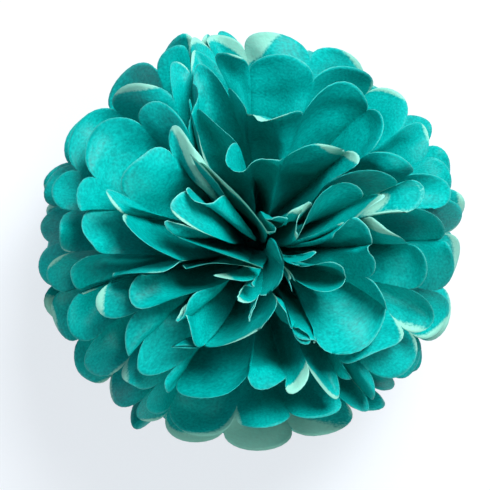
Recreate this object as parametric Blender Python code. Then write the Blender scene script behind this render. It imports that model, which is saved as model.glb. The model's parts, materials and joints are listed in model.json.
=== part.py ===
"""Tissue paper pom-pom: a ball of ten pleated sheets, tied at the middle with wire and pulled apart.

All sheets are folded together into one strip of pleats, cut round at both ends and tied in the middle.
Half of them are then pulled up and half down, one after the other, so that each becomes two half fans
that lean a little more than the sheet below. Metres, Z up. The strip runs along Y, and the two halves
of every sheet meet over the X axis. The origin is on the table under the middle of the ball.
"""

from math import cos, floor, hypot, inf, pi, radians, sin, sqrt

import bmesh
import bpy
from mathutils import Vector

COLLECTION = "tissue_pompom"

# The flat sheet
SHEET_REACH = 0.125
PLEAT_WIDTH = 0.030
PLEATS = 13
SCALLOP_DEPTH = 0.012
PAPER = 0.00025

# How each sheet leans away from the tie, in degrees above level, from the rim of the ball inwards
UPPER_LEANS = (6.5, 27.5, 45.0, 62.0, 82.0)
LOWER_LEANS = (-13.0, -30.0, -46.0, -61.0, -76.0)
CURL = 18.0
BEND_LENGTH = 0.015

# The tied middle
WAIST_WIDTH = 0.0044
TIED_HALF_LENGTH = 0.002
SHEET_GAP = 0.00035
PLEAT_START = 0.010
PLEAT_OPENING = 0.35
INNER_SHARE = 0.6
LEAST_MITRE = 0.1
SEAM_ANGLE = 0.4
SEAM_CLOSING = 0.9
CLOSING_SPEED = 12.0

# The table: how far the lowest petals are pressed flat, and how much of that goes sideways
SETTLE = 0.018
SIDEWAYS = 0.6

# What the hands that pulled it apart left uneven
LEAN_ASIDE = 9.0
LEAN_UNEVEN = 11.0
TURN_UNEVEN = 5.0
LAY_OVER = 2.2
LAY_FLAT = 0.7
LAID_WIDTH = 0.97 * PLEAT_WIDTH
WAVES = 0.004
SEAM_SHIFT = 3.5
DEPTH_UNEVEN = 0.4
CUP = 0.10
CUP_UNEVEN = 0.07

# Florist wire
WIRE_RADIUS = 0.0004
WIRE_CLEARANCE = 0.0003
TWIST_RADIUS = 0.00046
TWIST_LENGTH = 0.008
TWIST_TURNS = 2
POINTS_PER_TURN = 7
CORNER_POINTS = 2

# Rows of points across a half sheet past the bend, as shares of the way to its cut end
ROWS = (0.22, 0.6, 1.0)
ROWS_ON_TABLE = (0.22, 0.6, 0.88, 1.0)
SHEETS_ON_TABLE = 2

SHEET_PITCH = PAPER + SHEET_GAP
SHEET_COUNT = len(UPPER_LEANS) + len(LOWER_LEANS)
BUNDLE_HEIGHT = (SHEET_COUNT - 1) * SHEET_PITCH + PAPER


def cut_end(pleat):
    """Distance from the tie to the round-cut end of the strip, at a place across its pleats."""
    across = 2 * (pleat - floor(pleat)) - 1
    return SHEET_REACH - SCALLOP_DEPTH * (1 - sqrt(max(1 - across * across, 0)))


def arc(start, turn, length):
    """Out, up and slope at the end of a curve that sets off at a slope and turns through an angle."""
    half = turn / 2
    chord = length * sin(half) / half if half else length
    return chord * cos(start + half), chord * sin(start + half), start + turn


def rise(reach, lean):
    """Out, up and slope of a sheet that bends away from the tie and then droops towards its end."""
    steepest = lean + radians(CURL) / 2
    bent = min(reach / BEND_LENGTH, 1)
    out, up, slope = arc(0, steepest * bent, BEND_LENGTH * bent)
    left = SHEET_REACH - TIED_HALF_LENGTH - BEND_LENGTH
    drooped = max(reach - BEND_LENGTH, 0) / left
    more_out, more_up, slope = arc(slope, -radians(CURL) * drooped, left * drooped)
    return out + more_out, up + more_up, slope


def fold_depth(along, out, spacing):
    """Half the height of the zigzag that a pleat makes when its folds lie this far apart."""
    paper_left = sqrt(max(PLEAT_WIDTH ** 2 - spacing ** 2, (PLEAT_WIDTH / 5) ** 2)) / 2
    opened = min(PLEAT_OPENING * max(along - PLEAT_START, 0), INNER_SHARE * out)
    return paper_left * opened / (paper_left ** 4 + opened ** 4) ** 0.25


def laid_over(pleat, far, half, number):
    """How far pleats lie flat on each other: 0 is an even zigzag, and at 1 or -1 every second panel is hidden."""
    over = sin(0.55 * pleat + 0.25 * number + 2.2 * half) + 0.6 * sin(1.3 * pleat - 0.2 * number + half)
    free = min(2.5 * sin(pi * pleat / PLEATS), 1)
    return min(max(2 * over, -1), 1) * free * min(2 * far, 1)


def carried(spacing, depth, laid):
    """Sideways and up, how far a point goes for each metre that it lies above the middle of the paper."""
    rising, falling = spacing * (1 + laid), spacing * (1 - laid)
    rising_width, falling_width = hypot(rising, 2 * depth), hypot(falling, 2 * depth)
    across = 2 * depth * (1 / falling_width - 1 / rising_width)
    up = rising / rising_width + falling / falling_width
    turned = (rising * falling - 4 * depth * depth) / (rising_width * falling_width)
    share = max(1 + turned, LEAST_MITRE)
    return across / share, up / share


def folded(pleat, along, through, half, sheet):
    """Where a point of the flat sheet lies in the ball, with the tie as the origin.

    The point is given by its place across the pleats, its distance from the tie and its height
    above the middle of the paper.
    """
    far = along / SHEET_REACH
    share = pleat / PLEATS
    number, lean, level, resting = sheet
    uneven = sin(1.9 * pleat + 0.6 * number + 0.6 * half) + sin(0.83 * pleat - 0.3 * number + 2 * half + 1)
    lean += LEAN_UNEVEN / 2 * uneven * far - LEAN_ASIDE * (half > 0) * (number / (SHEET_COUNT - 1)) ** 2
    out, up, slope = rise(max(along - TIED_HALF_LENGTH, 0), radians(lean))
    spacing = WAIST_WIDTH / PLEATS + out * pi / PLEATS
    laid = laid_over(pleat, far, half, number)
    spare = max(LAID_WIDTH / spacing - 1, 0)
    depth = fold_depth(along, out, spacing * (1 + abs(laid) * min(spare, LAY_OVER)))
    laid *= min(spare, LAY_FLAT)
    depth *= 1 + DEPTH_UNEVEN * sin(2.2 * pleat + 0.6 * number - half) * far

    zigzag = 1 - 2 * abs(pleat % 2 - 1)
    swing = radians(TURN_UNEVEN) * sin(1.1 * pleat + 0.25 * number + half) * sin(pi * share)
    swing += radians(SEAM_SHIFT) * sin(0.7 * number + 2 * share) * half
    seam = radians(SEAM_ANGLE)
    turn = pi - seam - (pi - 2 * seam) * share - swing * far ** 2 - laid * zigzag * pi / 2 / PLEATS

    panel = min(floor(pleat), PLEATS - 1)
    side = 1 if panel % 2 else -1
    run = spacing * (1 - side * laid)
    across = pleat - panel
    bulge = (CUP + CUP_UNEVEN * sin(2.6 * panel + 1.7 * number + half)) * abs(run) * far ** 2
    bulge *= 4 * across * (1 - across) / hypot(run, 2 * depth)
    carried_across, carried_up = carried(spacing, depth, laid)
    sideways = 2 * depth * bulge * side + through * carried_across
    waves = sin(0.9 * pleat + 10 * far + 0.9 * number + 1.3 * half)
    waves += sin(0.5 * pleat - 6.875 * far - 0.6 * number + 2.5 * half)
    lift = zigzag * depth + bulge * run + through * carried_up + WAVES * waves * far ** 2

    out -= lift * sin(slope)
    up += lift * cos(slope) + level
    pressed = resting + through - up
    if pressed > 0:
        out += SIDEWAYS * pressed
        up += pressed
    closing = SEAM_CLOSING * min(CLOSING_SPEED * far, 1)
    x = WAIST_WIDTH * (share - 0.5) + out * cos(turn) + sideways * sin(turn)
    y = min(along, TIED_HALF_LENGTH) * (1 - closing) + out * sin(turn) - sideways * cos(turn)
    return Vector((x, half * y, up))


def flat_sheet(rows):
    """One unfolded sheet, as thick as its paper, with X counted in pleats and Y in rows from the tie."""
    bm = bmesh.new()
    count = len(rows) + 2
    bmesh.ops.create_grid(bm, x_segments=PLEATS, y_segments=2 * count, size=0.5)
    for vert in bm.verts:
        vert.co = Vector(((vert.co.x + 0.5) * PLEATS, vert.co.y * 2 * count, -PAPER / 2))
    for first in (count - len(rows) + 2, count - len(rows) + 3):
        across = [
            edge for edge in bm.edges
            if all(abs(vert.co.y) > first - 0.5 for vert in edge.verts)
            and abs(edge.verts[0].co.y - edge.verts[1].co.y) < 0.5
        ]
        bmesh.ops.subdivide_edges(bm, edges=across, cuts=1)
    bmesh.ops.triangulate(bm, faces=bm.faces, quad_method="FIXED", ngon_method="BEAUTY")
    bmesh.ops.solidify(bm, geom=bm.faces, thickness=-PAPER)
    bmesh.ops.recalc_face_normals(bm, faces=bm.faces)
    return bm


def along_at(row, pleat, rows):
    """Distance from the tie to a row of points, counted outwards."""
    bend_end = TIED_HALF_LENGTH + BEND_LENGTH
    starts = (0, TIED_HALF_LENGTH, bend_end)
    if row < len(starts):
        return starts[row]
    return bend_end + rows[row - len(starts)] * (cut_end(pleat) - bend_end)


def add_sheet(name, sheet, rows, tie):
    """One sheet, folded and pulled into place."""
    bm = flat_sheet(rows)
    for vert in bm.verts:
        pleat, row, through = vert.co.x, round(vert.co.y), vert.co.z
        half = -1 if row < 0 else 1
        vert.co = folded(pleat, along_at(abs(row), pleat, rows), through, half, sheet)
    mesh = bpy.data.meshes.new(name)
    bm.to_mesh(mesh)
    bm.free()
    mesh.materials.append(finish(f"{name}_tissue", "#00A89A", roughness=0.75, metallic=0))
    return add_object(name, mesh, tie)


def tie_path():
    """Both strands of the twisted tail and the loop between them, in the plane of the tie."""
    clear = WIRE_CLEARANCE + WIRE_RADIUS
    half_width = WAIST_WIDTH / 2
    half_height = BUNDLE_HEIGHT / 2
    start = half_width + clear
    steps = TWIST_TURNS * POINTS_PER_TURN
    strand = []
    for step in range(steps + 1):
        angle = 2 * pi * TWIST_TURNS * step / steps
        x = start + TWIST_LENGTH * step / steps
        strand.append(Vector((x, TWIST_RADIUS * sin(angle), TWIST_RADIUS * cos(angle))))
    loop = []
    for corner in range(4):
        middle_x = half_width * (1 if corner in (0, 3) else -1)
        middle_z = half_height * (1 if corner in (0, 1) else -1)
        for step in range(CORNER_POINTS + 1):
            angle = pi / 2 * (corner + step / CORNER_POINTS)
            loop.append(Vector((middle_x + clear * cos(angle), 0, middle_z + clear * sin(angle))))
    other = [Vector((point.x, -point.y, -point.z)) for point in strand]
    return strand[::-1] + loop + other


def add_tie(tie):
    """The wire, pulled tight round the bundle, with its two ends twisted together in the seam."""
    path = tie_path()
    wire = bpy.data.curves.new("tie_wire", "CURVE")
    wire.dimensions = "3D"
    wire.bevel_depth = WIRE_RADIUS
    wire.bevel_resolution = 1
    wire.use_fill_caps = True
    spline = wire.splines.new("POLY")
    spline.points.add(len(path) - 1)
    for point, place in zip(spline.points, path):
        point.co = (*place, 1)
    wire.materials.append(finish("florist_wire", "#8A8F8C", roughness=0.35, metallic=1))
    return add_object("tie_wire", wire, tie)


def finish(name, colour, roughness, metallic):
    """A Principled material with a colour given as it looks on screen."""
    material = bpy.data.materials.new(name)
    material.use_nodes = True
    shader = material.node_tree.nodes["Principled BSDF"]
    channels = [int(colour[at:at + 2], 16) / 255 for at in (1, 3, 5)]
    linear = [c / 12.92 if c <= 0.04045 else ((c + 0.055) / 1.055) ** 2.4 for c in channels]
    shader.inputs["Base Color"].default_value = (*linear, 1)
    shader.inputs["Roughness"].default_value = roughness
    shader.inputs["Metallic"].default_value = metallic
    return material


def add_object(name, data, tie):
    """An object of the pom-pom, placed by the tie."""
    added = bpy.data.objects.new(name, data)
    bpy.data.collections[COLLECTION].objects.link(added)
    added.parent = tie
    return added


def sheet_list():
    """Name, number, lean and level in the bundle of every sheet, from the bottom of the bundle up."""
    bottom = -(SHEET_COUNT - 1) / 2 * SHEET_PITCH
    leans = list(reversed(LOWER_LEANS)) + list(UPPER_LEANS)
    names = [f"lower_sheet_{n}" for n in range(len(LOWER_LEANS), 0, -1)]
    names += [f"upper_sheet_{n}" for n in range(1, len(UPPER_LEANS) + 1)]
    return [(names[n], n, leans[n], bottom + n * SHEET_PITCH) for n in range(SHEET_COUNT)]


def tie_height(sheets):
    """Height of the tie over the table, from how deep the lowest sheet would hang if nothing held it."""
    name, number, lean, level = sheets[0]
    hanging = (number, lean, level, -inf)
    lobes = [panel + 0.5 for panel in range(PLEATS)]
    deepest = min(folded(lobe, SHEET_REACH, 0, half, hanging).z for lobe in lobes for half in (-1, 1))
    return -deepest - SETTLE


def centre_over_origin(tie, sheets):
    """Moves the tie sideways until the ball's outline is centred on the origin."""
    corners = [vert.co for sheet in sheets for vert in sheet.data.vertices]
    for axis in (0, 1):
        places = [corner[axis] for corner in corners]
        tie.location[axis] = -(min(places) + max(places)) / 2


def build():
    """The whole pom-pom, in a collection of its own."""
    for old in list(bpy.data.objects):
        bpy.data.objects.remove(old, do_unlink=True)
    ball = bpy.data.collections.new(COLLECTION)
    bpy.context.scene.collection.children.link(ball)
    tie = bpy.data.objects.new("tie", None)
    ball.objects.link(tie)

    sheets = sheet_list()
    height = tie_height(sheets)
    tie.location.z = height
    built = []
    for name, number, lean, level in sheets:
        resting = PAPER / 2 + number * SHEET_PITCH - height
        rows = ROWS_ON_TABLE if number < SHEETS_ON_TABLE else ROWS
        built.append(add_sheet(name, (number, lean, level, resting), rows, tie))
    centre_over_origin(tie, built)
    add_tie(tie)


build()
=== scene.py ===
"""Tissue paper pom-pom: the look of every sheet of tissue and of the wire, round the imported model."""

import json
from math import cos, pi, radians, sin

import bpy
from mathutils import Matrix, Vector


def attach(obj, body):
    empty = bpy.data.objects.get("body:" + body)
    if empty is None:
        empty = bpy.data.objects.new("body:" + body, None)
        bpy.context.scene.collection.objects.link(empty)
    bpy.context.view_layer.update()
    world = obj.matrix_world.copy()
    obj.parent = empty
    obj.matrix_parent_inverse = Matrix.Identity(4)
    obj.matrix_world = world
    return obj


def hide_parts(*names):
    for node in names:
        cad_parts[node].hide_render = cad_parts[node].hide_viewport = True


MATH = "ShaderNodeMath"

# The flat sheet, in metres
SHEET_REACH = 0.125
PLEAT_WIDTH = 0.030
PLEATS = 13
SCALLOP_DEPTH = 0.012
PAPER = 0.00012

# How each sheet leans away from the tie, in degrees above level, from the rim of the ball inwards
UPPER_LEANS = (6.5, 27.5, 45.0, 62.0, 82.0)
LOWER_LEANS = (-13.0, -30.0, -46.0, -61.0, -76.0)
SHEETS = len(UPPER_LEANS) + len(LOWER_LEANS)

# At the tie the sheets lie this far apart, and their gathered pleats fill this share of it
SHEET_PITCH = 0.0006
GATHERED_SHARE = 0.96

# What all sheets share, under the names of the tree's inputs: metres, radians and plain shares
SHARED_SIZES = {
    # The flat sheet and its mesh
    "Reach": SHEET_REACH,
    "Pleat width": PLEAT_WIDTH,
    "Pleats": PLEATS,
    "Columns per pleat": 15,
    "Rows per half": 58,
    "Scallop depth": SCALLOP_DEPTH,
    "Paper": PAPER,
    # How a half leaves the tie, bends up or down, and opens its pleats
    "Waist width": 0.0044,
    "Tied half length": 0.002,
    "Bend length": 0.015,
    "Curl": radians(18.0),
    "Pleat start": 0.010,
    "Pleat opening": 0.35,
    "Inner share": 0.6,
    # The seam, where the two halves of a sheet meet
    "Seam angle": radians(0.4),
    "Seam closing": 0.99,
    "Closing speed": 12.0,
    "Seam shift": radians(3.5),
    # What hands leave uneven when they pull the sheets apart
    "Upright far half": radians(-5.0),
    "Upright near half": radians(9.0),
    "Lean uneven": radians(13.0),
    "Turn uneven": radians(9.0),
    "Depth uneven": 0.4,
    "Lay over": 2.2,
    "Lay flat": 1.0,
    "Waves": 0.005,
    "Sway": 0.012,
    # How far paper spreads outwards for each metre that the table presses it up
    "Sideways": 0.6,
    # The form of each petal
    "Cup": 0.03,
    "Cup uneven": 0.05,
    "Fold softness": 0.05,
    "Tip curl": 0.009,
    "Tip droop": 0.008,
    "Crumple": 0.0032,
    "Crumple room": 0.010,
    "Crinkle": 0.0003,
}
WHOLE_NUMBERS = ("Pleats", "Columns per pleat", "Rows per half")

# A column on a fold belongs to the panel that starts there, and the last one to the last panel
FOLD_NUDGE = 0.0001
LAST_COLUMN_SHIFT = 0.001

# The broadest that a panel lies, the least share of the pleat's width by which it rises, and the least
# depth of a fold at the tie
LAID_WIDTH = 0.97 * PLEAT_WIDTH
LEAST_RISE = 0.2
LEAST_DEPTH = 0.00001

# The higher this power, the sharper the change from a pleat that is still opening to an open one
OPENING_POWER = 4.0

# How much the quick changes count in how pleats are laid, how firmly they are laid one way or the
# other, and how soon they are free of the seam and the tie
LAID_QUICK_SHARE = 0.6
LAID_FIRMNESS = 2.0
FREE_OF_SEAM = 2.5
FREE_OF_TIE = 2.0

# The least share that a sharp fold's mitre is divided by, which limits how far the mitre reaches
LEAST_MITRE = 0.1

# Near the seam the gap between the halves closes faster, up to this speed
FASTEST_CLOSING = 100.0

# How the seam wanders from one end of a half to the other, and from sheet to sheet, in radians
WANDER_OVER_HALF = 2.0
WANDER_PER_SHEET = 0.7

# Tips curl and droop with this power of the distance from the tie
TIP_POWER = 6.0

# The lumps of crumpled and of crinkled paper, in metres, and what brings their noise to about 1
CRUMPLE_SIZE = 0.034
CRINKLE_SIZE = 0.006
NOISE_SWING = 4.0

# The sway to the far side follows X, and the sway to the right follows Y: metres a radian, and radians
FAR_SWAY_LENGTH = 0.024
FAR_SWAY_START = -1.1
RIGHT_SWAY_LENGTH = 0.022
RIGHT_SWAY_START = 2.4

# How far apart in the paper's pattern one sheet was cut from the next, in metres
NEXT_CUT = 0.1

# The share of the light that goes through a sheet, and how far the clouds and fibres of its paper
# change its dye, its painted pale highlights and its roughness, and its facets stand up between creases
LIGHT_THROUGH = 0.19
CLOUDS_IN_DYE = 0.4
FIBRES_IN_PAINTED_HIGHLIGHTS = 0.05
FIBRES_IN_ROUGHNESS = 0.16
FACET_HEIGHT = 0.4

# The photograph: its size, and the width and middle of the ball in it
FRAME_PIXELS = 490
BALL_WIDTH_PIXELS = 430
BALL_MIDDLE_PIXELS = (250, 238)
METRES_PER_PIXEL = 2 * SHEET_REACH / BALL_WIDTH_PIXELS

# The camera: how far to the right and the far side it looks for each metre down, and from how far
VIEW_LEAN = (0.045, -0.06)
VIEW_DISTANCE = 1.2
SENSOR_WIDTH_MM = 36.0

# The middle of the ball, round which the camera and the lamps are placed
BALL_MIDDLE = Vector((0, 0, 0.1))

# The photograph's directions: its seam is turned this far from the X axis
SEAM_TURN = radians(12.7)
FAR_SIDE = Vector((sin(SEAM_TURN), cos(SEAM_TURN), 0))
RIGHT_SIDE = Vector((cos(SEAM_TURN), -sin(SEAM_TURN), 0))
UPWARDS = Vector((0, 0, 1))

# The floor: half its width, how far it lies under the ball, and how much of its white needs no light
FLOOR_REACH = 3.0
FLOOR_GAP = 0.0002
FLOOR_WHITE = 0.72


def add(tree, kind, inputs=(), **settings):
    """Adds a node with its settings, and links or sets its inputs, in order or by name."""
    made = tree.nodes.new(kind)
    for name, value in settings.items():
        setattr(made, name, value)
    enabled = [socket for socket in made.inputs if socket.enabled]
    pairs = inputs.items() if isinstance(inputs, dict) else zip(enabled, inputs)
    for socket, value in pairs:
        if isinstance(socket, str):
            socket = next(one for one in enabled if one.name == socket)
        if isinstance(value, bpy.types.Node):
            value = next(output for output in value.outputs if output.enabled)
        if isinstance(value, bpy.types.NodeSocket):
            tree.links.new(value, socket)
        else:
            socket.default_value = value
    return made


def linear(colour):
    """An sRGB hex colour as linear red, green, blue and alpha."""
    channels = [int(colour[at:at + 2], 16) / 255 for at in (1, 3, 5)]
    return (*[c / 12.92 if c <= 0.04045 else ((c + 0.055) / 1.055) ** 2.4 for c in channels], 1)


def wave(tree, place, per_pleat, per_sheet, per_half, start=0.0, per_reach=0.0):
    """The sine by which unevenness runs across the pleats, and along them where per_reach is given."""
    angle = add(tree, MATH, (place["pleat"], per_pleat, start), operation="MULTIPLY_ADD")
    angle = add(tree, MATH, (place["Number"], per_sheet, angle), operation="MULTIPLY_ADD")
    angle = add(tree, MATH, (place["half"], per_half, angle), operation="MULTIPLY_ADD")
    if per_reach:
        angle = add(tree, MATH, (place["far"], per_reach, angle), operation="MULTIPLY_ADD")
    return add(tree, MATH, (angle,), operation="SINE")


def arc(tree, start, turn, length):
    """Out and up at the end of a curve that sets off at a slope and turns through an angle."""
    # The chord points along the curve's middle, and is shorter by a 24th of the turn squared
    middle = add(tree, MATH, (turn, 0.5, start), operation="MULTIPLY_ADD")
    square = add(tree, MATH, (turn, turn), operation="MULTIPLY")
    shorter = add(tree, MATH, (square, -1 / 24, 1.0), operation="MULTIPLY_ADD")
    chord = add(tree, MATH, (length, shorter), operation="MULTIPLY")
    flat = add(tree, MATH, (middle,), operation="COSINE")
    steep = add(tree, MATH, (middle,), operation="SINE")
    out = add(tree, MATH, (chord, flat), operation="MULTIPLY")
    up = add(tree, MATH, (chord, steep), operation="MULTIPLY")
    return out, up


def place_on_sheet(tree, given):
    """Where a point is on the flat sheet: its half, panel and pleat, and how far it is from the tie."""
    flat = add(tree, "ShaderNodeSeparateXYZ", (add(tree, "GeometryNodeInputPosition"),))
    place = {socket.name: socket for socket in given.outputs if socket.name}
    place["half"] = add(tree, MATH, (flat.outputs["Y"],), operation="SIGN")
    half_paper = add(tree, MATH, (place["Paper"], -0.5), operation="MULTIPLY")
    place["through"] = add(tree, MATH, (flat.outputs["Z"], half_paper), operation="ADD")

    half_count = add(tree, MATH, (place["Pleats"], 0.5), operation="MULTIPLY")
    column = add(tree, MATH, (flat.outputs["X"], half_count), operation="ADD")
    almost_end = add(tree, MATH, (place["Pleats"], LAST_COLUMN_SHIFT), operation="SUBTRACT")
    inside = add(tree, MATH, (column, almost_end), operation="MINIMUM")
    nudged = add(tree, MATH, (inside, FOLD_NUDGE), operation="ADD")
    place["panel"] = add(tree, MATH, (nudged,), operation="FLOOR")

    # Columns lie closer together near the folds, which keeps folds crisp and round ends smooth
    across = add(tree, MATH, (column, place["panel"]), operation="SUBTRACT")
    across = add(tree, "ShaderNodeClamp", (across, 0.0, 1.0))
    across = add(tree, MATH, (across, pi), operation="MULTIPLY")
    across = add(tree, MATH, (across,), operation="COSINE")
    centred = add(tree, MATH, (across, -1.0), operation="MULTIPLY")
    past_fold = add(tree, MATH, (centred, 0.5, 0.5), operation="MULTIPLY_ADD")
    place["pleat"] = add(tree, MATH, (past_fold, place["panel"]), operation="ADD")
    place["share"] = add(tree, MATH, (place["pleat"], place["Pleats"]), operation="DIVIDE")
    half_way_round = add(tree, MATH, (place["share"], pi), operation="MULTIPLY")
    place["off seam"] = add(tree, MATH, (half_way_round,), operation="SINE")

    # Each pleat's end is cut to half an ellipse
    square = add(tree, MATH, (centred, centred), operation="MULTIPLY")
    place["middle"] = add(tree, MATH, (1.0, square), operation="SUBTRACT", use_clamp=True)
    round_end = add(tree, MATH, (place["middle"],), operation="SQRT")
    short = add(tree, MATH, (1.0, round_end), operation="SUBTRACT")
    lost = add(tree, MATH, (short, place["Scallop depth"]), operation="MULTIPLY")
    place["cut end"] = add(tree, MATH, (place["Reach"], lost), operation="SUBTRACT")
    length_share = add(tree, MATH, (flat.outputs["Y"],), operation="ABSOLUTE")
    place["along"] = add(tree, MATH, (length_share, place["cut end"]), operation="MULTIPLY")
    place["far"] = add(tree, MATH, (place["along"], place["Reach"]), operation="DIVIDE")
    place["far squared"] = add(tree, MATH, (place["far"], place["far"]), operation="MULTIPLY")
    place["at tip"] = add(tree, MATH, (place["far"], TIP_POWER), operation="POWER")
    return place


def paper_place(tree, place):
    """The point's place on the flat paper in metres, by which crumples, creases and fibres are laid out."""
    across = add(tree, MATH, (place["pleat"], place["Pleat width"]), operation="MULTIPLY")
    along = add(tree, MATH, (place["along"], place["half"]), operation="MULTIPLY")
    return add(tree, "ShaderNodeCombineXYZ", (across, along, place["through"]))


def steepest_slope(tree, place):
    """The slope at which a pleat leaves the bend: its sheet's lean, made uneven, and half its curl."""
    first = wave(tree, place, per_pleat=1.9, per_sheet=0.6, per_half=0.6)
    second = wave(tree, place, per_pleat=0.83, per_sheet=-0.3, per_half=2.0, start=1.0)
    uneven = add(tree, MATH, (first, second), operation="ADD")
    uneven = add(tree, MATH, (uneven, place["Lean uneven"]), operation="MULTIPLY")
    half_far = add(tree, MATH, (place["far"], 0.5), operation="MULTIPLY")
    lean = add(tree, MATH, (uneven, half_far, place["Lean"]), operation="MULTIPLY_ADD")
    # The higher a sheet is in the bundle, the more its two halves lean their own ways
    high = add(tree, MATH, (place["Number"], 1 / (SHEETS - 1)), operation="MULTIPLY")
    high_squared = add(tree, MATH, (high, high), operation="MULTIPLY")
    far_half = add(tree, MATH, (place["half"], 0.0), operation="GREATER_THAN")
    own_way = add(tree, "ShaderNodeMix", {
        "Factor": far_half, "A": place["Upright near half"], "B": place["Upright far half"],
    })
    lean = add(tree, MATH, (high_squared, own_way, lean), operation="MULTIPLY_ADD")
    return add(tree, MATH, (place["Curl"], 0.5, lean), operation="MULTIPLY_ADD")


def rise(tree, place):
    """Out, up and slope of a sheet that bends away from the tie and then droops towards its end."""
    freed = add(tree, MATH, (place["along"], place["Tied half length"]), operation="SUBTRACT")
    reach = add(tree, MATH, (freed, 0.0), operation="MAXIMUM")
    bent = add(tree, MATH, (reach, place["Bend length"]), operation="DIVIDE", use_clamp=True)
    bend_turn = add(tree, MATH, (steepest_slope(tree, place), bent), operation="MULTIPLY")
    bend_length = add(tree, MATH, (place["Bend length"], bent), operation="MULTIPLY")
    out, up = arc(tree, 0.0, bend_turn, bend_length)

    after_tie = add(tree, MATH, (place["Reach"], place["Tied half length"]), operation="SUBTRACT")
    left = add(tree, MATH, (after_tie, place["Bend length"]), operation="SUBTRACT")
    past_bend = add(tree, MATH, (reach, place["Bend length"]), operation="SUBTRACT")
    drooped = add(tree, MATH, (past_bend, left), operation="DIVIDE", use_clamp=True)
    droop = add(tree, MATH, (drooped, place["Curl"]), operation="MULTIPLY")
    droop_turn = add(tree, MATH, (droop, -1.0), operation="MULTIPLY")
    droop_length = add(tree, MATH, (left, drooped), operation="MULTIPLY")
    more_out, more_up = arc(tree, bend_turn, droop_turn, droop_length)

    out = add(tree, MATH, (out, more_out), operation="ADD")
    up = add(tree, MATH, (up, more_up), operation="ADD")
    slope = add(tree, MATH, (bend_turn, droop_turn), operation="ADD")
    return out, up, slope


def laid_over(tree, place):
    """How far pleats lie flat on each other: 0 is an even zigzag, and 1 or -1 hides every second panel."""
    slow = wave(tree, place, per_pleat=0.55, per_sheet=0.25, per_half=2.2)
    quick = wave(tree, place, per_pleat=1.3, per_sheet=-0.2, per_half=1.0)
    over = add(tree, MATH, (quick, LAID_QUICK_SHARE, slow), operation="MULTIPLY_ADD")
    over = add(tree, MATH, (over, LAID_FIRMNESS), operation="MULTIPLY")
    over = add(tree, "ShaderNodeClamp", (over, -1.0, 1.0))
    free = add(tree, MATH, (place["off seam"], FREE_OF_SEAM), operation="MULTIPLY", use_clamp=True)
    away = add(tree, MATH, (place["far"], FREE_OF_TIE), operation="MULTIPLY", use_clamp=True)
    over = add(tree, MATH, (over, free), operation="MULTIPLY")
    return add(tree, MATH, (over, away), operation="MULTIPLY")


def zigzag_share(tree, place):
    """-1 on one fold and 1 on the next, with a straight line between them."""
    turned = add(tree, MATH, (place["pleat"], 2.0), operation="FLOORED_MODULO")
    turned = add(tree, MATH, (turned, 1.0), operation="SUBTRACT")
    turned = add(tree, MATH, (turned,), operation="ABSOLUTE")
    return add(tree, MATH, (turned, -2.0, 1.0), operation="MULTIPLY_ADD")


def softened(tree, place, zigzag):
    """The zigzag with folds that were once sharp opened into soft ridges towards the petals."""
    quarter = add(tree, MATH, (zigzag, pi / 2), operation="MULTIPLY")
    rounded = add(tree, MATH, (quarter,), operation="SINE")
    softness = add(tree, MATH, (place["Fold softness"], place["far"]), operation="MULTIPLY")
    difference = add(tree, MATH, (rounded, zigzag), operation="SUBTRACT")
    return add(tree, MATH, (difference, softness, zigzag), operation="MULTIPLY_ADD")


def fold_depth(tree, place, out, width):
    """Half the height of the zigzag that a pleat makes when it is spread to a width, this far out."""
    whole = add(tree, MATH, (place["Pleat width"], 2.0), operation="POWER")
    used = add(tree, MATH, (width, 2.0), operation="POWER")
    left = add(tree, MATH, (whole, used), operation="SUBTRACT")
    least = add(tree, MATH, (whole, LEAST_RISE ** 2), operation="MULTIPLY")
    left = add(tree, MATH, (left, least), operation="MAXIMUM")
    left = add(tree, MATH, (left,), operation="SQRT")
    left = add(tree, MATH, (left, 0.5), operation="MULTIPLY")

    opened = add(tree, MATH, (place["along"], place["Pleat start"]), operation="SUBTRACT")
    opened = add(tree, MATH, (opened, place["Pleat opening"]), operation="MULTIPLY")
    inner = add(tree, MATH, (out, place["Inner share"]), operation="MULTIPLY")
    opened = add(tree, MATH, (opened, inner), operation="MINIMUM")
    opened = add(tree, MATH, (opened, LEAST_DEPTH), operation="MAXIMUM")

    # The smaller of the two, with a smooth change from one to the other
    left_power = add(tree, MATH, (left, OPENING_POWER), operation="POWER")
    opened_power = add(tree, MATH, (opened, OPENING_POWER), operation="POWER")
    both = add(tree, MATH, (left_power, opened_power), operation="ADD")
    root = add(tree, MATH, (both, 1 / OPENING_POWER), operation="POWER")
    product = add(tree, MATH, (left, opened), operation="MULTIPLY")
    depth = add(tree, MATH, (product, root), operation="DIVIDE")

    uneven = wave(tree, place, per_pleat=2.2, per_sheet=0.6, per_half=-1.0)
    uneven = add(tree, MATH, (uneven, place["Depth uneven"]), operation="MULTIPLY")
    uneven = add(tree, MATH, (uneven, place["far"], 1.0), operation="MULTIPLY_ADD")
    return add(tree, MATH, (depth, uneven), operation="MULTIPLY")


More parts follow.
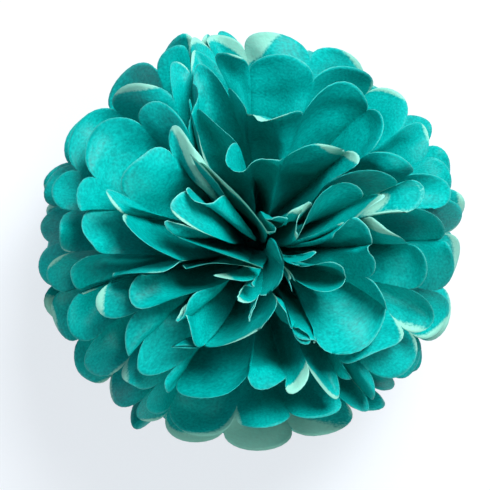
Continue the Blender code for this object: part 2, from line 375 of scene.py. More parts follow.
def pleat_form(tree, place, out):
    """The widths and the depth of a pleat this far out, and how far it is laid over."""
    along_waist = add(tree, MATH, (place["Waist width"], place["Pleats"]), operation="DIVIDE")
    per_pleat = add(tree, MATH, (pi, place["Pleats"]), operation="DIVIDE")
    spacing = add(tree, MATH, (out, per_pleat, along_waist), operation="MULTIPLY_ADD")
    laid = laid_over(tree, place)
    spare = add(tree, MATH, (LAID_WIDTH, spacing), operation="DIVIDE")
    spare = add(tree, MATH, (spare, 1.0), operation="SUBTRACT")
    spare = add(tree, MATH, (spare, 0.0), operation="MAXIMUM")
    hidden = add(tree, MATH, (spare, place["Lay over"]), operation="MINIMUM")
    laid_share = add(tree, MATH, (laid,), operation="ABSOLUTE")
    broader = add(tree, MATH, (laid_share, hidden, 1.0), operation="MULTIPLY_ADD")
    broad = add(tree, MATH, (spacing, broader), operation="MULTIPLY")
    moved = add(tree, MATH, (spare, place["Lay flat"]), operation="MINIMUM")

    form = {"depth": fold_depth(tree, place, out, broad)}
    form["double depth"] = add(tree, MATH, (form["depth"], 2.0), operation="MULTIPLY")
    form["laid"] = add(tree, MATH, (laid, moved), operation="MULTIPLY")
    form["rising"] = add(tree, MATH, (spacing, form["laid"], spacing), operation="MULTIPLY_ADD")
    two_panels = add(tree, MATH, (spacing, 2.0), operation="MULTIPLY")
    form["falling"] = add(tree, MATH, (two_panels, form["rising"]), operation="SUBTRACT")
    parity = add(tree, MATH, (place["panel"], 2.0), operation="FLOORED_MODULO")
    form["side"] = add(tree, MATH, (parity, 2.0, -1.0), operation="MULTIPLY_ADD")
    form["run"] = add(tree, "ShaderNodeMix", {
        "Factor": parity, "A": form["rising"], "B": form["falling"],
    })
    run_square = add(tree, MATH, (form["run"], form["run"]), operation="MULTIPLY")
    panel_square = add(tree, MATH, (form["double depth"], form["double depth"], run_square),
                       operation="MULTIPLY_ADD")
    form["panel width"] = add(tree, MATH, (panel_square,), operation="SQRT")
    form["room"] = add(tree, MATH, (spacing, place["Crumple room"]), operation="DIVIDE", use_clamp=True)
    return form


def pleat_turn(tree, place, zigzag, laid):
    """The direction in which a point lies round the tie."""
    swing = wave(tree, place, per_pleat=1.1, per_sheet=0.25, per_half=1.0)
    swing = add(tree, MATH, (swing, place["Turn uneven"]), operation="MULTIPLY")
    swing = add(tree, MATH, (swing, place["off seam"]), operation="MULTIPLY")
    angle = add(tree, MATH, (place["share"], WANDER_OVER_HALF), operation="MULTIPLY")
    angle = add(tree, MATH, (place["Number"], WANDER_PER_SHEET, angle), operation="MULTIPLY_ADD")
    shift = add(tree, MATH, (angle,), operation="SINE")
    shift = add(tree, MATH, (shift, place["Seam shift"]), operation="MULTIPLY")
    swing = add(tree, MATH, (shift, place["half"], swing), operation="MULTIPLY_ADD")
    swing = add(tree, MATH, (swing, place["far squared"]), operation="MULTIPLY")
    half_pleat = add(tree, MATH, (pi / 2, place["Pleats"]), operation="DIVIDE")
    over = add(tree, MATH, (laid, half_pleat), operation="MULTIPLY")
    swing = add(tree, MATH, (over, zigzag, swing), operation="MULTIPLY_ADD")

    opened = add(tree, MATH, (place["Seam angle"], -2.0, pi), operation="MULTIPLY_ADD")
    passed = add(tree, MATH, (opened, place["share"], place["Seam angle"]), operation="MULTIPLY_ADD")
    back = add(tree, MATH, (pi, passed), operation="SUBTRACT")
    return add(tree, MATH, (back, swing), operation="SUBTRACT")


def carried(tree, form):
    """Sideways and up, how far a point goes for each metre that it lies above the middle of the paper."""
    rising, falling, double_depth = form["rising"], form["falling"], form["double depth"]
    # The normals of the two panels that meet at a fold, added up
    depth_square = add(tree, MATH, (double_depth, double_depth), operation="MULTIPLY")
    rising_square = add(tree, MATH, (rising, rising, depth_square), operation="MULTIPLY_ADD")
    falling_square = add(tree, MATH, (falling, falling, depth_square), operation="MULTIPLY_ADD")
    rising_width = add(tree, MATH, (rising_square,), operation="SQRT")
    falling_width = add(tree, MATH, (falling_square,), operation="SQRT")
    first = add(tree, MATH, (double_depth, falling_width), operation="DIVIDE")
    second = add(tree, MATH, (double_depth, rising_width), operation="DIVIDE")
    across = add(tree, MATH, (first, second), operation="SUBTRACT")
    first = add(tree, MATH, (rising, rising_width), operation="DIVIDE")
    second = add(tree, MATH, (falling, falling_width), operation="DIVIDE")
    up = add(tree, MATH, (first, second), operation="ADD")
    # Divided by one more than the cosine between the normals, it keeps both panels equally thick
    widths = add(tree, MATH, (rising_width, falling_width), operation="MULTIPLY")
    runs = add(tree, MATH, (rising, falling), operation="MULTIPLY")
    cosine = add(tree, MATH, (runs, depth_square), operation="SUBTRACT")
    cosine = add(tree, MATH, (cosine, widths), operation="DIVIDE")
    mitre = add(tree, MATH, (cosine, 1.0), operation="ADD")
    mitre = add(tree, MATH, (mitre, LEAST_MITRE), operation="MAXIMUM")
    across = add(tree, MATH, (across, mitre), operation="DIVIDE")
    up = add(tree, MATH, (up, mitre), operation="DIVIDE")
    return across, up


def crushed(tree, place, size, detail):
    """From about -0.25 to 0.25, how paper with lumps of one size stands off its smooth form."""
    noise = add(tree, "ShaderNodeTexNoise", {
        "Vector": paper_place(tree, place),
        "W": place["Number"],
        "Scale": 1 / size,
        "Detail": detail,
    }, noise_dimensions="4D")
    return add(tree, MATH, (noise.outputs[0], 0.5), operation="SUBTRACT")


def crumpled(tree, place, room):
    """How far crumpled paper stands off its smooth form, where neighbouring pleats leave it room."""
    crumple = crushed(tree, place, CRUMPLE_SIZE, 1.0)
    crumple = add(tree, MATH, (crumple, place["Crumple"]), operation="MULTIPLY")
    crumple = add(tree, MATH, (crumple, NOISE_SWING), operation="MULTIPLY")
    return add(tree, MATH, (crumple, room), operation="MULTIPLY")


def petal_bulge(tree, place, form, crumple):
    """How far a panel is cupped, crumpled and curled at its free end, as a share of its width."""
    panel_place = dict(place, pleat=place["panel"])
    cup = wave(tree, panel_place, per_pleat=2.6, per_sheet=1.7, per_half=1.0)
    cup = add(tree, MATH, (cup, place["Cup uneven"], place["Cup"]), operation="MULTIPLY_ADD")
    run_length = add(tree, MATH, (form["run"],), operation="ABSOLUTE")
    cup = add(tree, MATH, (cup, run_length), operation="MULTIPLY")
    curl = wave(tree, panel_place, per_pleat=4.1, per_sheet=2.3, per_half=1.6, start=0.7)
    curl = add(tree, MATH, (curl, place["Tip curl"]), operation="MULTIPLY")
    curl = add(tree, MATH, (curl, place["at tip"]), operation="MULTIPLY")
    curl = add(tree, MATH, (curl, form["room"]), operation="MULTIPLY")
    bulge = add(tree, MATH, (cup, place["far squared"], curl), operation="MULTIPLY_ADD")
    bulge = add(tree, MATH, (crumple, place["far"], bulge), operation="MULTIPLY_ADD")
    bulge = add(tree, MATH, (bulge, place["middle"]), operation="MULTIPLY")
    return add(tree, MATH, (bulge, form["panel width"]), operation="DIVIDE")


def through_paper(tree, place):
    """How far a point lies from the middle of the paper, finely crinkled and gathered at the tie."""
    crinkle = crushed(tree, place, CRINKLE_SIZE, 2.0)
    crinkle = add(tree, MATH, (crinkle, place["Crinkle"]), operation="MULTIPLY")
    crinkle = add(tree, MATH, (crinkle, place["far"]), operation="MULTIPLY")
    # The pleats gathered under the wire are about five layers thick, and one layer at three times
    # the length that it covers of a half
    past_tie = add(tree, MATH, (place["along"], place["Tied half length"]), operation="DIVIDE")
    gathered = add(tree, MATH, (past_tie, -0.5, 1.5), operation="MULTIPLY_ADD", use_clamp=True)
    more_layers = GATHERED_SHARE * SHEET_PITCH / PAPER - 1
    layers = add(tree, MATH, (gathered, more_layers, 1.0), operation="MULTIPLY_ADD")
    thick = add(tree, MATH, (place["through"], layers), operation="MULTIPLY")
    return add(tree, MATH, (crinkle, NOISE_SWING, thick), operation="MULTIPLY_ADD")


def wave_lift(tree, place, crumple):
    """How far the broad waves of a sheet and its crumples lift it, less the droop of the upper tips."""
    long_wave = wave(tree, place, per_pleat=0.9, per_sheet=0.9, per_half=1.3, per_reach=10.0)
    short_wave = wave(tree, place, per_pleat=0.5, per_sheet=-0.6, per_half=2.5, per_reach=-6.875)
    waves = add(tree, MATH, (long_wave, short_wave), operation="ADD")
    waves = add(tree, MATH, (waves, place["Waves"]), operation="MULTIPLY")
    waves = add(tree, MATH, (waves, place["far squared"]), operation="MULTIPLY")
    waves = add(tree, MATH, (crumple, place["far"], waves), operation="MULTIPLY_ADD")
    upper = add(tree, MATH, (place["Lean"], 0.0), operation="GREATER_THAN")
    droop = add(tree, MATH, (upper, place["Tip droop"]), operation="MULTIPLY")
    droop = add(tree, MATH, (droop, place["at tip"]), operation="MULTIPLY")
    return add(tree, MATH, (waves, droop), operation="SUBTRACT")


def pressed_on_table(tree, place, out, up):
    """Out and up once what would lie under the table is pressed flat on it and spreads outwards."""
    lowest = add(tree, MATH, (place["Resting"], place["through"]), operation="ADD")
    pressed = add(tree, MATH, (lowest, up), operation="SUBTRACT")
    pressed = add(tree, MATH, (pressed, 0.0), operation="MAXIMUM")
    out = add(tree, MATH, (pressed, place["Sideways"], out), operation="MULTIPLY_ADD")
    up = add(tree, MATH, (up, pressed), operation="ADD")
    return out, up


def seam_gap(tree, place):
    """How far a half lies off the seam: the length under the wire, and almost nothing further out."""
    gap = add(tree, MATH, (place["along"], place["Tied half length"]), operation="MINIMUM")
    speed = add(tree, MATH, (place["Closing speed"], place["off seam"]), operation="DIVIDE")
    speed = add(tree, MATH, (speed, FASTEST_CLOSING), operation="MINIMUM")
    closing = add(tree, MATH, (place["far"], speed), operation="MULTIPLY", use_clamp=True)
    closing = add(tree, MATH, (closing, place["Seam closing"]), operation="MULTIPLY")
    open_share = add(tree, MATH, (1.0, closing), operation="SUBTRACT")
    return add(tree, MATH, (gap, open_share), operation="MULTIPLY")


def swayed(tree, place, x, y, up):
    """X and Y once the upper petals sway together, here to one side and there to the other."""
    height = add(tree, MATH, (up, place["Reach"]), operation="DIVIDE", use_clamp=True)
    height = add(tree, MATH, (height, height), operation="MULTIPLY")
    sway = add(tree, MATH, (height, place["Sway"]), operation="MULTIPLY")
    angle = add(tree, MATH, (x, 1 / FAR_SWAY_LENGTH, FAR_SWAY_START), operation="MULTIPLY_ADD")
    angle = add(tree, MATH, (angle,), operation="SINE")
    y = add(tree, MATH, (angle, sway, y), operation="MULTIPLY_ADD")
    angle = add(tree, MATH, (y, 1 / RIGHT_SWAY_LENGTH, RIGHT_SWAY_START), operation="MULTIPLY_ADD")
    angle = add(tree, MATH, (angle,), operation="SINE")
    x = add(tree, MATH, (angle, sway, x), operation="MULTIPLY_ADD")
    return x, y


def folded_place(tree, place):
    """Where a point of the flat sheet lies in the ball."""
    out, up, slope = rise(tree, place)
    zigzag = zigzag_share(tree, place)
    form = pleat_form(tree, place, out)
    turn = pleat_turn(tree, place, zigzag, form["laid"])
    crumple = crumpled(tree, place, form["room"])
    bulge = petal_bulge(tree, place, form, crumple)
    through = through_paper(tree, place)
    carried_across, carried_up = carried(tree, form)

    # Across the pleat
    sideways = add(tree, MATH, (form["double depth"], bulge), operation="MULTIPLY")
    sideways = add(tree, MATH, (sideways, form["side"]), operation="MULTIPLY")
    sideways = add(tree, MATH, (through, carried_across, sideways), operation="MULTIPLY_ADD")

    # Off the smooth fan that the sheet would be without its pleats
    lift = wave_lift(tree, place, crumple)
    lift = add(tree, MATH, (bulge, form["run"], lift), operation="MULTIPLY_ADD")
    ridges = softened(tree, place, zigzag)
    lift = add(tree, MATH, (ridges, form["depth"], lift), operation="MULTIPLY_ADD")
    lift = add(tree, MATH, (through, carried_up, lift), operation="MULTIPLY_ADD")
    rise_sine = add(tree, MATH, (slope,), operation="SINE")
    rise_cosine = add(tree, MATH, (slope,), operation="COSINE")
    inwards = add(tree, MATH, (lift, rise_sine), operation="MULTIPLY")
    out = add(tree, MATH, (out, inwards), operation="SUBTRACT")
    up = add(tree, MATH, (lift, rise_cosine, up), operation="MULTIPLY_ADD")
    up = add(tree, MATH, (up, place["Height"]), operation="ADD")
    out, up = pressed_on_table(tree, place, out, up)

    # Round the tie
    turn_sine = add(tree, MATH, (turn,), operation="SINE")
    turn_cosine = add(tree, MATH, (turn,), operation="COSINE")
    waist = add(tree, MATH, (place["share"], 0.5), operation="SUBTRACT")
    x = add(tree, MATH, (waist, place["Waist width"]), operation="MULTIPLY")
    x = add(tree, MATH, (out, turn_cosine, x), operation="MULTIPLY_ADD")
    x = add(tree, MATH, (sideways, turn_sine, x), operation="MULTIPLY_ADD")
    y = add(tree, MATH, (out, turn_sine, seam_gap(tree, place)), operation="MULTIPLY_ADD")
    aside = add(tree, MATH, (sideways, turn_cosine), operation="MULTIPLY")
    y = add(tree, MATH, (y, aside), operation="SUBTRACT")
    y = add(tree, MATH, (y, place["half"]), operation="MULTIPLY")
    x, y = swayed(tree, place, x, y, up)
    folded = add(tree, "ShaderNodeCombineXYZ", (x, y, up))
    return add(tree, "ShaderNodeVectorMath", (folded, place["Tie"]), operation="ADD")


def flat_slab(tree, given):
    """A thin slab, one unit wide for each pleat and one long for each half, with its rim marked."""
    columns = add(tree, MATH, (given.outputs["Pleats"], given.outputs["Columns per pleat"], 1.0),
                  operation="MULTIPLY_ADD")
    rows = add(tree, MATH, (given.outputs["Rows per half"], 2.0, 1.0), operation="MULTIPLY_ADD")
    grid = add(tree, "GeometryNodeMeshGrid", {
        "Size X": given.outputs["Pleats"],
        "Size Y": 2.0,
        "Vertices X": columns,
        "Vertices Y": rows,
    })
    front = add(tree, "GeometryNodeExtrudeMesh", {
        "Mesh": grid,
        "Offset Scale": given.outputs["Paper"],
        "Individual": False,
    }, mode="FACES")
    rim = add(tree, "GeometryNodeStoreNamedAttribute", {
        "Geometry": front.outputs["Mesh"],
        "Name": "rim",
        "Value": front.outputs["Side"],
    }, data_type="BOOLEAN", domain="FACE")
    back = add(tree, "GeometryNodeFlipFaces", (grid,))
    joined = add(tree, "GeometryNodeJoinGeometry")
    tree.links.new(rim.outputs[0], joined.inputs[0])
    tree.links.new(back.outputs[0], joined.inputs[0])
    return add(tree, "GeometryNodeMergeByDistance", {"Geometry": joined, "Distance": PAPER / 10})


def marked_for_materials(tree, slab, place):
    """The slab with what its materials read: the place on the paper, distance to a cut end, and side."""
    # Each sheet is cut from another part of the paper, so its fibres and creases are its own
    cut_at = add(tree, MATH, (place["Number"], NEXT_CUT), operation="MULTIPLY")
    cut_at = add(tree, "ShaderNodeCombineXYZ", (0.0, 0.0, cut_at))
    own_paper = add(tree, "ShaderNodeVectorMath", (paper_place(tree, place), cut_at), operation="ADD")
    paper = add(tree, "GeometryNodeStoreNamedAttribute", {
        "Geometry": slab,
        "Name": "paper",
        "Value": own_paper,
    }, data_type="FLOAT_VECTOR", domain="POINT")
    from_edge = add(tree, MATH, (place["cut end"], place["along"]), operation="SUBTRACT")
    edged = add(tree, "GeometryNodeStoreNamedAttribute", {
        "Geometry": paper,
        "Name": "from_edge",
        "Value": from_edge,
    }, data_type="FLOAT", domain="POINT")
    glazed = add(tree, MATH, (place["through"], 0.0), operation="GREATER_THAN")
    return add(tree, "GeometryNodeStoreNamedAttribute", {
        "Geometry": edged,
        "Name": "glazed",
        "Value": glazed,
    }, data_type="FLOAT", domain="POINT")


def sheet_tree(tissue, cut_edge):
    """The tree that folds one sheet: a thin slab of paper, laid out flat and then pulled into place."""
    tree = bpy.data.node_groups.new("folded tissue sheet", "GeometryNodeTree")
    for name in SHARED_SIZES:
        kind = "NodeSocketInt" if name in WHOLE_NUMBERS else "NodeSocketFloat"
        tree.interface.new_socket(name, in_out="INPUT", socket_type=kind)
    for name in ("Number", "Lean", "Height", "Resting"):
        tree.interface.new_socket(name, in_out="INPUT", socket_type="NodeSocketFloat")
    tree.interface.new_socket("Tie", in_out="INPUT", socket_type="NodeSocketVector")
    tree.interface.new_socket("Sheet", in_out="OUTPUT", socket_type="NodeSocketGeometry")
    given = add(tree, "NodeGroupInput")
    place = place_on_sheet(tree, given)
    folded = add(tree, "GeometryNodeSetPosition", {
        "Geometry": marked_for_materials(tree, flat_slab(tree, given), place),
        "Position": folded_place(tree, place),
    })
    smooth = add(tree, "GeometryNodeSetShadeSmooth", {"Geometry": folded, "Shade Smooth": True})
    dressed = add(tree, "GeometryNodeSetMaterial", {"Geometry": smooth, "Material": tissue})
    on_rim = add(tree, "GeometryNodeInputNamedAttribute", {"Name": "rim"}, data_type="BOOLEAN")
    finished = add(tree, "GeometryNodeSetMaterial", {
        "Geometry": dressed,
        "Selection": on_rim,
        "Material": cut_edge,
    })
    add(tree, "NodeGroupOutput", (finished,))
    return tree


def make_sheet(name, tree, sizes):
    """One folded sheet as a plain mesh, from the tree and this sheet's own sizes."""
    base = bpy.data.objects.new("unfolded", bpy.data.meshes.new("unfolded"))
    bpy.context.scene.collection.objects.link(base)
    folding = base.modifiers.new("folding", "NODES")
    folding.node_group = tree
    for socket in tree.interface.items_tree:
        if socket.in_out == "INPUT":
            folding[socket.identifier] = sizes[socket.name]
    evaluated = base.evaluated_get(bpy.context.evaluated_depsgraph_get())
    mesh = bpy.data.meshes.new_from_object(evaluated)
    bpy.data.objects.remove(base)
    mesh.name = name
    piece = bpy.data.objects.new(name, mesh)
    bpy.context.scene.collection.objects.link(piece)
    return piece


def sizes_of_sheet(number, lean, tie):
    """The tree's inputs for one sheet: what all sheets share, and its own number, lean and heights."""
    return dict(
        SHARED_SIZES,
        Number=float(number),
        Lean=radians(lean),
        Height=(number - (SHEETS - 1) / 2) * SHEET_PITCH,
        Resting=PAPER / 2 + number * SHEET_PITCH - tie[2],
        Tie=tie,
    )


def sheet_list():
    """Node, number and lean of every sheet, from the bottom of the bundle up."""
    names = [f"lower_sheet_{n}" for n in range(len(LOWER_LEANS), 0, -1)]
    names += [f"upper_sheet_{n}" for n in range(1, len(UPPER_LEANS) + 1)]
    leans = LOWER_LEANS[::-1] + UPPER_LEANS
    return list(zip(names, range(SHEETS), leans))


def new_material(name):
    """An empty node material, and its node tree."""
    material = bpy.data.materials.new(name)
    material.use_nodes = True
    material.node_tree.nodes.clear()
    return material, material.node_tree


def dyed_colour(tree, place, dye, fibres):
    """The colour of the tissue: mottled dye, painted pale highlights, and painted light caught by the cut
    edge.
    """
    from_edge = add(tree, "ShaderNodeAttribute", attribute_name="from_edge").outputs["Fac"]
    body = add(tree, "ShaderNodeMix", {
        "Factor": dye, "A": linear("#008F8C"), "B": linear("#00BCB6"),
    }, data_type="RGBA")
    # Painted pale highlights of light on the tips: patches of about 40 mm, most within 16 mm of a cut end
    painted_highlight_spots = add(tree, "ShaderNodeTexNoise", {"Vector": place, "Scale": 1 / 0.04, "Detail": 0.0})
    painted_highlight_near_tip = add(tree, "ShaderNodeMapRange", {
        "Value": from_edge, "From Min": 0.0, "From Max": 0.016, "To Min": 0.25, "To Max": 0.0,
    })
    painted_highlight = add(tree, MATH, (painted_highlight_spots.outputs[0], painted_highlight_near_tip), operation="ADD")
    painted_highlight = add(tree, MATH, (fibres, FIBRES_IN_PAINTED_HIGHLIGHTS, painted_highlight), operation="MULTIPLY_ADD")
    painted_highlight = add(tree, "ShaderNodeMapRange", {
        "Value": painted_highlight, "From Min": 0.84, "From Max": 0.87, "To Min": 0.0, "To Max": 0.8,
    })
    # Painted highlight: where its mask is high the dye is mixed towards pale mint
    body = add(tree, "ShaderNodeMix", {
        "Factor": painted_highlight, "A": body, "B": linear("#9CDCC8"),
    }, data_type="RGBA")
    # The last 0.8 mm before a cut edge catches the light
    at_edge = add(tree, "ShaderNodeMapRange", {
        "Value": from_edge, "From Min": 0.0, "From Max": 0.0008, "To Min": 0.15, "To Max": 0.0,
    })
    return add(tree, "ShaderNodeMix", {
        "Factor": at_edge, "A": body, "B": linear("#8ADCD3"),
    }, data_type="RGBA")


def creased_normal(tree, place, fibres):
    """The relief of handled tissue: creases, wrinkles and the felt of its fibres."""
    # Creases are the borders of cells of about 11 mm, bent by noise so that they aren't straight
    bend = add(tree, "ShaderNodeTexNoise", {"Vector": place, "Scale": 1 / 0.02, "Detail": 1.0})
    pushed = add(tree, "ShaderNodeVectorMath", (bend.outputs["Color"], (0.5, 0.5, 0.5)),
                 operation="SUBTRACT")
    bent = add(tree, "ShaderNodeVectorMath", {"Vector": pushed, "Scale": 0.012}, operation="SCALE")
    crease_place = add(tree, "ShaderNodeVectorMath", (place, bent), operation="ADD")
    creases = add(tree, "ShaderNodeTexVoronoi", {
        "Vector": crease_place, "Scale": 1 / 0.011,
    }, feature="DISTANCE_TO_EDGE")
    facet_height = add(tree, MATH, (creases.outputs["Distance"], FACET_HEIGHT), operation="MULTIPLY")
    creased = add(tree, "ShaderNodeBump", {
        "Height": facet_height, "Strength": 0.2, "Distance": 0.0025,
    })
    # Wrinkles are about 5 mm across
    wrinkles = add(tree, "ShaderNodeTexNoise", {"Vector": place, "Scale": 1 / 0.005, "Detail": 3.0})
    wrinkled = add(tree, "ShaderNodeBump", {
        "Height": wrinkles.outputs[0], "Strength": 0.2, "Distance": 0.0012, "Normal": creased,
    })
    return add(tree, "ShaderNodeBump", {
        "Height": fibres, "Strength": 0.5, "Distance": 0.0002, "Normal": wrinkled,
    })


def tissue_material():
    """Dyed tissue paper of 17 g/m2: a fine mottle of fibres, soft creases, and light that comes through."""
    material, tree = new_material("dyed_tissue_paper")
    place = add(tree, "ShaderNodeAttribute", attribute_name="paper").outputs["Vector"]
    glazed = add(tree, "ShaderNodeAttribute", attribute_name="glazed").outputs["Fac"]
    # Fibres are about 1 mm long and lie in clouds of about 12 mm, which take the dye unevenly
    fibre_noise = add(tree, "ShaderNodeTexNoise", {"Vector": place, "Scale": 1 / 0.0012, "Detail": 2.0})
    fibres = fibre_noise.outputs[0]
    clouds = add(tree, "ShaderNodeTexNoise", {"Vector": place, "Scale": 1 / 0.012, "Detail": 3.0})
    mottle = add(tree, MATH, (clouds.outputs[0], CLOUDS_IN_DYE, fibres), operation="MULTIPLY_ADD")
    dye = add(tree, "ShaderNodeMapRange", {"Value": mottle, "From Min": 0.45, "From Max": 0.95})
    normal = creased_normal(tree, place, fibres)
    # One side is glazed and the other matt
    roughness = add(tree, "ShaderNodeMapRange", {"Value": glazed, "To Min": 0.6, "To Max": 0.34})
    roughness = add(tree, MATH, (fibres, FIBRES_IN_ROUGHNESS, roughness), operation="MULTIPLY_ADD")
    reflecting = add(tree, "ShaderNodeBsdfPrincipled", {
        "Base Color": dyed_colour(tree, place, dye, fibres),
        "Roughness": roughness,
        "IOR": 1.47,
        "Specular IOR Level": 0.12,
        "Normal": normal,
    })
    glow = add(tree, "ShaderNodeMix", {
        "Factor": dye, "A": linear("#10BCB1"), "B": linear("#38D0C6"),
    }, data_type="RGBA")
    through = add(tree, "ShaderNodeBsdfTranslucent", {"Color": glow, "Normal": normal})
    surface = add(tree, "ShaderNodeMixShader", (LIGHT_THROUGH, reflecting, through))
    add(tree, "ShaderNodeOutputMaterial", (surface,))
    return material


def cut_edge_material():
    """The cut edge of dyed tissue: loose fibre ends, matt and paler than the faces."""
    material, tree = new_material("cut_tissue_edge")
    place = add(tree, "ShaderNodeAttribute", attribute_name="paper").outputs["Vector"]
    ends = add(tree, "ShaderNodeTexNoise", {"Vector": place, "Scale": 1 / 0.0008, "Detail": 2.0})
    colour = add(tree, "ShaderNodeMix", {
        "Factor": ends.outputs[0], "A": linear("#22B0A6"), "B": linear("#7FD6CE"),
    }, data_type="RGBA")
    bumped = add(tree, "ShaderNodeBump", {
        "Height": ends.outputs[0], "Strength": 0.4, "Distance": 0.0001,
    })
    shader = add(tree, "ShaderNodeBsdfPrincipled", {
        "Base Color": colour, "Roughness": 0.8, "IOR": 1.47, "Normal": bumped,
    })
    add(tree, "ShaderNodeOutputMaterial", (shader,))
    return material


def wire_material():
    """Annealed steel florist wire, drawn: fine grooves along it and a dull grey shine."""
    material, tree = new_material("drawn_florist_wire")
    place = add(tree, "ShaderNodeTexCoord").outputs["Object"]
    stains = add(tree, "ShaderNodeTexNoise", {"Vector": place, "Scale": 1 / 0.0015, "Detail": 3.0})
    colour = add(tree, "ShaderNodeMix", {
        "Factor": stains.outputs[0], "A": linear("#7E8380"), "B": linear("#A4A9A6"),
    }, data_type="RGBA")
    grooves = add(tree, "ShaderNodeTexNoise", {"Vector": place, "Scale": 1 / 0.00015, "Detail": 1.0})
    bumped = add(tree, "ShaderNodeBump", {
        "Height": grooves.outputs[0], "Strength": 0.3, "Distance": 0.00003,
    })
    roughness = add(tree, "ShaderNodeMapRange", {
        "Value": stains.outputs[0], "To Min": 0.28, "To Max": 0.46,
    })
    shader = add(tree, "ShaderNodeBsdfPrincipled", {
        "Base Color": colour, "Metallic": 1.0, "Roughness": roughness, "Normal": bumped,
    })
    add(tree, "ShaderNodeOutputMaterial", (shader,))
    return material


def seen_directly(tree):
    """1 for what the camera, a reflection or clear glass shows, and 0 for light that falls on something."""
    path = add(tree, "ShaderNodeLightPath")
    seen = add(tree, MATH, (path.outputs["Is Camera Ray"], path.outputs["Is Glossy Ray"]),
               operation="MAXIMUM")
    return add(tree, MATH, (seen, path.outputs["Is Transmission Ray"]), operation="MAXIMUM")


def floor_material():
    """Matt white card with a faint tooth: seen directly it is nearly white, and it keeps the shadow."""
    material, tree = new_material("white_card_floor")
    place = add(tree, "ShaderNodeTexCoord").outputs["Object"]
    tooth = add(tree, "ShaderNodeTexNoise", {"Vector": place, "Scale": 1 / 0.002, "Detail": 2.0})
    colour = add(tree, "ShaderNodeMix", {
        "Factor": tooth.outputs[0], "A": linear("#EDF4FC"), "B": linear("#F3F8FE"),
    }, data_type="RGBA")
    card = add(tree, "ShaderNodeBsdfPrincipled", {
        "Base Color": colour, "Roughness": 0.9, "Specular IOR Level": 0.1,
    })
    white = add(tree, "ShaderNodeEmission", {"Color": linear("#F5FAFF"), "Strength": 1.0})
    part_white = add(tree, MATH, (seen_directly(tree), FLOOR_WHITE), operation="MULTIPLY")
    shader = add(tree, "ShaderNodeMixShader", (part_white, card, white))
    add(tree, "ShaderNodeOutputMaterial", (shader,))
    return material


def make_floor():
    """A wide plain floor under the ball."""
    mesh = bpy.data.meshes.new("floor")
    corners = [(x * FLOOR_REACH, y * FLOOR_REACH, -FLOOR_GAP)
               for x, y in ((-1, -1), (1, -1), (1, 1), (-1, 1))]
    mesh.from_pydata(corners, [], [(0, 1, 2, 3)])
    mesh.materials.append(floor_material())
    floor = bpy.data.objects.new("floor", mesh)
    bpy.context.scene.collection.objects.link(floor)


def right_and_up(forward):
    """The right and up of a view along forward, with the far side at its top."""
    right = forward.cross(FAR_SIDE).normalized()
    return right, right.cross(forward)


def aim(obj, place, target):
    """Puts a lamp or camera at a place, with its top towards the far side, and points it at a target."""
    forward = (target - place).normalized()
    right, up = right_and_up(forward)
    turned = Matrix((right, up, -forward)).transposed().to_4x4()
    obj.matrix_world = Matrix.Translation(place) @ turned


def add_camera():
    """The camera looks down on the ball, with the ball where it is in the photograph."""
    forward = (RIGHT_SIDE * VIEW_LEAN[0] + FAR_SIDE * VIEW_LEAN[1] - UPWARDS).normalized()
    right, up = right_and_up(forward)
    beside = (BALL_MIDDLE_PIXELS[0] - FRAME_PIXELS / 2) * METRES_PER_PIXEL
    above = (FRAME_PIXELS / 2 - BALL_MIDDLE_PIXELS[1]) * METRES_PER_PIXEL
    target = BALL_MIDDLE - right * beside - up * above
    data = bpy.data.cameras.new("camera")
    data.sensor_width = SENSOR_WIDTH_MM
    data.lens = SENSOR_WIDTH_MM * VIEW_DISTANCE / (FRAME_PIXELS * METRES_PER_PIXEL)
    camera = bpy.data.objects.new("camera", data)
    bpy.context.scene.collection.objects.link(camera)
    aim(camera, target - forward * VIEW_DISTANCE, target)
    bpy.context.scene.camera = camera


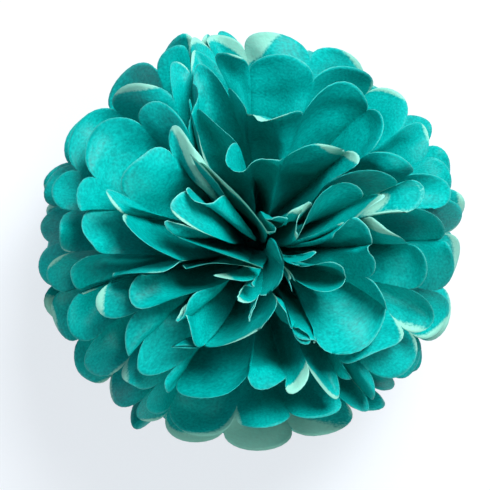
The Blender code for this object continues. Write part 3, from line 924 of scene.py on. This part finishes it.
def add_lamp(name, offset, size, power, colour):
    """A soft square lamp, this far from the middle of the ball and pointed at it."""
    data = bpy.data.lights.new(name, "AREA")
    data.shape = "SQUARE"
    data.size = size
    data.energy = power
    data.color = linear(colour)[:3]
    lamp = bpy.data.objects.new(name, data)
    bpy.context.scene.collection.objects.link(lamp)
    aim(lamp, BALL_MIDDLE + offset, BALL_MIDDLE)


def light_room():
    """Soft daylight: a window high over the far side, weak light from near and left, and a pale room."""
    add_lamp("far_window", FAR_SIDE * 0.85 + RIGHT_SIDE * 0.4 + UPWARDS * 1.2,
             size=0.7, power=41.5, colour="#FFFFFF")
    add_lamp("near_window", FAR_SIDE * -1.1 + RIGHT_SIDE * 0.1 + UPWARDS,
             size=0.6, power=8.0, colour="#FFF8EE")
    add_lamp("left_fill", RIGHT_SIDE * -1.3 + UPWARDS * 0.8,
             size=1.0, power=2.0, colour="#F4F8FF")

    world = bpy.data.worlds.new("white_room")
    bpy.context.scene.world = world
    world.use_nodes = True
    tree = world.node_tree
    tree.nodes.clear()
    lighting = add(tree, "ShaderNodeBackground", {"Color": linear("#D6E6FF"), "Strength": 0.2})
    white = add(tree, "ShaderNodeBackground", {"Color": linear("#FFFFFF"), "Strength": 1.0})
    shader = add(tree, "ShaderNodeMixShader", (seen_directly(tree), lighting, white))
    add(tree, "ShaderNodeOutputWorld", (shader,))
    bpy.context.scene.view_settings.view_transform = "Standard"


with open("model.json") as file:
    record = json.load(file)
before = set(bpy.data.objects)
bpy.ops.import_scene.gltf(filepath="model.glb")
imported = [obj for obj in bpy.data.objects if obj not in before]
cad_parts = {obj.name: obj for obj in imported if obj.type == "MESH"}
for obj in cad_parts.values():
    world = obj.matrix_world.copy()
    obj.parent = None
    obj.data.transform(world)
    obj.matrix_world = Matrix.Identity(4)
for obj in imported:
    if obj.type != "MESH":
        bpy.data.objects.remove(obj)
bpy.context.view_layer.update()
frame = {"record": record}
tie = next(mount["pos_m"] for mount in frame["record"]["mounts"] if mount["name"] == "hanging_tie")
folding_tree = sheet_tree(tissue_material(), cut_edge_material())
for name, number, lean in sheet_list():
    sheet = make_sheet(f"tissue_{name}", folding_tree, sizes_of_sheet(number, lean, tie))
    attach(sheet, "root")
    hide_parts(name)
bpy.data.objects["tie_wire"].material_slots[0].material = wire_material()
make_floor()
light_room()
add_camera()
